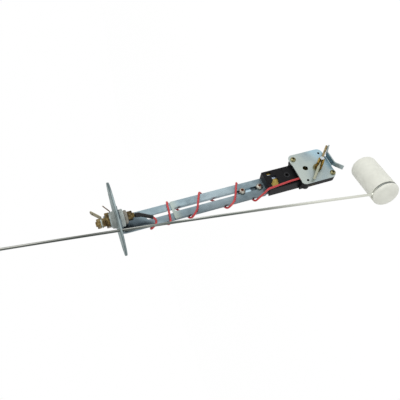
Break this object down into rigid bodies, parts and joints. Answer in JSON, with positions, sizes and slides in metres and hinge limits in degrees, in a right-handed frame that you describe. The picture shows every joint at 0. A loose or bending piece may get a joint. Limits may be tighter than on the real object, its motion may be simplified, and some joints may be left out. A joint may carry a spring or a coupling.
{
  "type": "fuel level sender",
  "caption": "Fuel tank level sender: bolted flange with two terminals, slotted steel brackets, black pivoting sensor and a stowed wire float arm with a white float.",
  "frame": {"origin": "centre of the flange on its seating face", "axes": "+Z out of the tank along the flange's axis; the brackets hang along -Z and the sensor's cover faces -Y"},
  "size_m": [0.0983, 0.0682, 0.3705],
  "materials": {
    "zinc_plate": "bright zinc plate, slightly clouded",
    "brass": "dull brass",
    "grey_insulator": "matt, light grey",
    "beige_washer": "matt beige fibre",
    "black_sleeve": "satin heat-shrunk sleeve",
    "float_plastic": "matt off-white",
    "black_plastic": "matt moulded",
    "mustard_card": "matt card",
    "resistance_wire": "fine wound wire",
    "yellow_passivated": "yellow passivated zinc",
    "olive_passivated": "olive passivated zinc",
    "tan_passivated": "tan passivated rod",
    "red_insulation": "satin red insulation"
  },
  "bodies": {
    "root": {"flange_plate": "zinc_plate", "lower_bracket": "zinc_plate", "outer_insulator": "grey_insulator", "signal_washer": "zinc_plate", "signal_lock_nut": "brass", "signal_jam_nut": "brass", "signal_tab": "zinc_plate", "signal_lock_washer": "zinc_plate", "signal_nut": "brass", "signal_stud": "brass", "inner_insulator": "grey_insulator", "inner_washer": "beige_washer", "inner_nut": "brass", "heat_shrink": "black_sleeve", "ground_stud": "zinc_plate", "ground_washer": "zinc_plate", "ground_tab": "zinc_plate", "ground_lock_washer": "zinc_plate", "ground_nut": "brass", "float_arm": "zinc_plate", "adjuster_screws": "zinc_plate", "adjuster_nuts": "zinc_plate", "signal_wire": "red_insulation"},
    "float": {"float": "float_plastic"},
    "sensor": {"upper_bracket": "zinc_plate", "sensor_housing": "black_plastic", "insulating_card": "mustard_card", "contact_clip": "zinc_plate", "housing_rivets": "zinc_plate", "cover_plate": "zinc_plate", "cover_screws": "yellow_passivated", "pivot_bush": "olive_passivated", "resistor_card": "mustard_card", "resistor_winding": "resistance_wire"},
    "arm": {"pivot_shaft": "zinc_plate", "wiper_arm": "zinc_plate", "arm_clamp": "brass", "clamp_screw": "zinc_plate", "holder_pin": "tan_passivated"}
  },
  "joints": [
    {"name": "depth_slide", "type": "slide", "parent": "root", "child": "sensor", "axis": [0, 0, -1], "range_m": [0, 0.008], "deforming": ["signal_wire"]},
    {"name": "arm_pivot", "type": "hinge", "parent": "sensor", "child": "arm", "pos_m": [-0.003, -0.006, -0.2055], "axis": [0, -1, 0], "range_deg": [0, 104.5]},
    {"name": "float_spin", "type": "hinge", "parent": "root", "child": "float", "pos_m": [-0.05745, -0.0151, -0.243], "axis": [-0.9568, -0.2487, 0.1507], "continuous": true}
  ]
}
